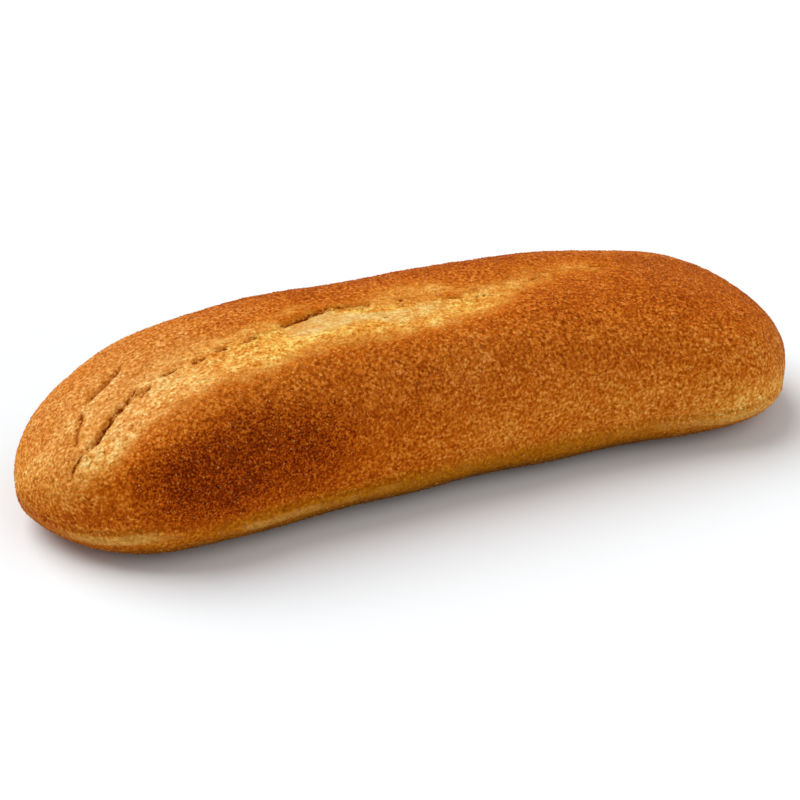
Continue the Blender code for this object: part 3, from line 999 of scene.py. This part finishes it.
def add_piece(name, data):
    data.shade_smooth()
    data.materials.append(bpy.data.materials.get("browned_crust") or make_crust_material())
    piece = bpy.data.objects.new(name, data)
    bpy.context.scene.collection.objects.link(piece)
    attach(piece, "root")
    return piece


def read_layer(data, name):
    values = np.empty(len(data.vertices), np.float32)
    data.attributes[name].data.foreach_get("value", values)
    return values


def grain_places(data, random):
    """Random triangles of the crust for the grains, with more of them where the triangles are larger."""
    data.calc_loop_triangles()
    corners = np.array([triangle.vertices for triangle in data.loop_triangles])
    points = np.array([vertex.co for vertex in data.vertices])
    first, second, third = (points[corners[:, k]] for k in range(3))
    across = np.cross(second - first, third - first)
    area = np.linalg.norm(across, axis=1)
    smooth = read_layer(data, "cream") + RIM_SMOOTHNESS * read_layer(data, "rim") + read_layer(data, "open")
    chance = area * np.clip(1 - smooth[corners[:, 0]], 0, 1) * (first[:, 2] > GRAIN_FLOOR)
    chosen = random.choice(len(corners), GRAINS, p=chance / chance.sum())
    share = np.sort(random.uniform(size=(GRAINS, 2)), axis=1)
    low, high = share[:, :1], share[:, 1:]
    places = first[chosen] * low + second[chosen] * (high - low) + third[chosen] * (1 - high)
    return places, across[chosen] / area[chosen, None], corners[chosen, 0]


def make_grains(crust, random):
    """Small closed bumps of three sides and a foot that sits in the crust."""
    places, normals, beneath = grain_places(crust, random)
    large = random.uniform(size=GRAINS) ** GRAIN_RADIUS_POWER
    radius = GRAIN_RADIUS_LOW + (GRAIN_RADIUS_HIGH - GRAIN_RADIUS_LOW) * large
    side = np.cross(normals, random.normal(size=(GRAINS, 3)))
    side = side / np.linalg.norm(side, axis=1, keepdims=True)
    other = np.cross(normals, side)
    tip = places + normals * (radius * GRAIN_HEIGHT_SHARE)[:, None]
    points = [tip]
    for turn in np.radians((0, 120, 240)):
        out = side * np.cos(turn) + other * np.sin(turn)
        points.append(places - normals * GRAIN_SINK + out * radius[:, None])
    points = np.stack(points, axis=1).reshape(-1, 3)
    faces = np.array(((0, 1, 2), (0, 2, 3), (0, 3, 1), (1, 3, 2)))
    faces = (faces + GRAIN_POINTS * np.arange(GRAINS)[:, None, None]).reshape(-1, 3)
    data = bpy.data.meshes.new("crust_grains")
    data.from_pydata(points, [], faces)
    tones = random.uniform(-1, 1, GRAINS) ** TONE_POWER
    tones = np.where(tones < 0, DARK_TONE_SHARE * tones, tones)
    for name in LAYERS:
        values = tones if name == "tone" else read_layer(crust, name)[beneath]
        layer = data.attributes.new(name, "FLOAT", "POINT")
        layer.data.foreach_set("value", np.repeat(values, GRAIN_POINTS))
    add_piece("crust_grains", data)


def add_camera():
    right = Vector((np.cos(CAMERA_TURN), -np.sin(CAMERA_TURN), 0))
    level = np.cos(CAMERA_TILT)
    ahead = Vector((np.sin(CAMERA_TURN) * level, np.cos(CAMERA_TURN) * level, -np.sin(CAMERA_TILT)))
    up = right.cross(ahead)
    data = bpy.data.cameras.new("camera")
    data.lens = LENS
    data.sensor_width = SENSOR
    camera = bpy.data.objects.new("camera", data)
    bpy.context.scene.collection.objects.link(camera)
    pose = Matrix((right, up, -ahead)).transposed().to_4x4()
    pose.translation = -CAMERA_ASIDE * right - CAMERA_RAISE * up - CAMERA_DISTANCE * ahead
    camera.matrix_world = pose
    bpy.context.scene.camera = camera


def add_floor():
    mesh = bmesh.new()
    bmesh.ops.create_grid(mesh, x_segments=1, y_segments=1, size=FLOOR_SIDE / 2)
    data = bpy.data.meshes.new("floor")
    mesh.to_mesh(data)
    mesh.free()
    floor = bpy.data.objects.new("floor", data)
    floor.location.z = -FLOOR_GAP
    bpy.context.scene.collection.objects.link(floor)
    material = bpy.data.materials.new("pale_floor")
    material.use_nodes = True
    shader = material.node_tree.nodes["Principled BSDF"]
    shader.inputs["Base Color"].default_value = FLOOR_COLOUR
    shader.inputs["Roughness"].default_value = FLOOR_ROUGHNESS
    shader.inputs["Specular IOR Level"].default_value = FLOOR_SHEEN
    data.materials.append(material)


def add_lights():
    for name, direction, spread, strength in LIGHTS:
        data = bpy.data.lights.new(name, "SUN")
        data.angle = np.radians(spread)
        data.energy = strength
        light = bpy.data.objects.new(name, data)
        light.rotation_euler = Vector(direction).to_track_quat("Z", "Y").to_euler()
        bpy.context.scene.collection.objects.link(light)
    world = bpy.data.worlds.new("studio")
    world.use_nodes = True
    background = world.node_tree.nodes["Background"]
    background.inputs["Color"].default_value = WHITE
    background.inputs["Strength"].default_value = WORLD_STRENGTH
    bpy.context.scene.world = world
    bpy.context.scene.view_settings.view_transform = "Standard"


add_camera()
add_floor()
add_lights()
random = np.random.default_rng(SEED)
make_grains(make_crust(random), random)
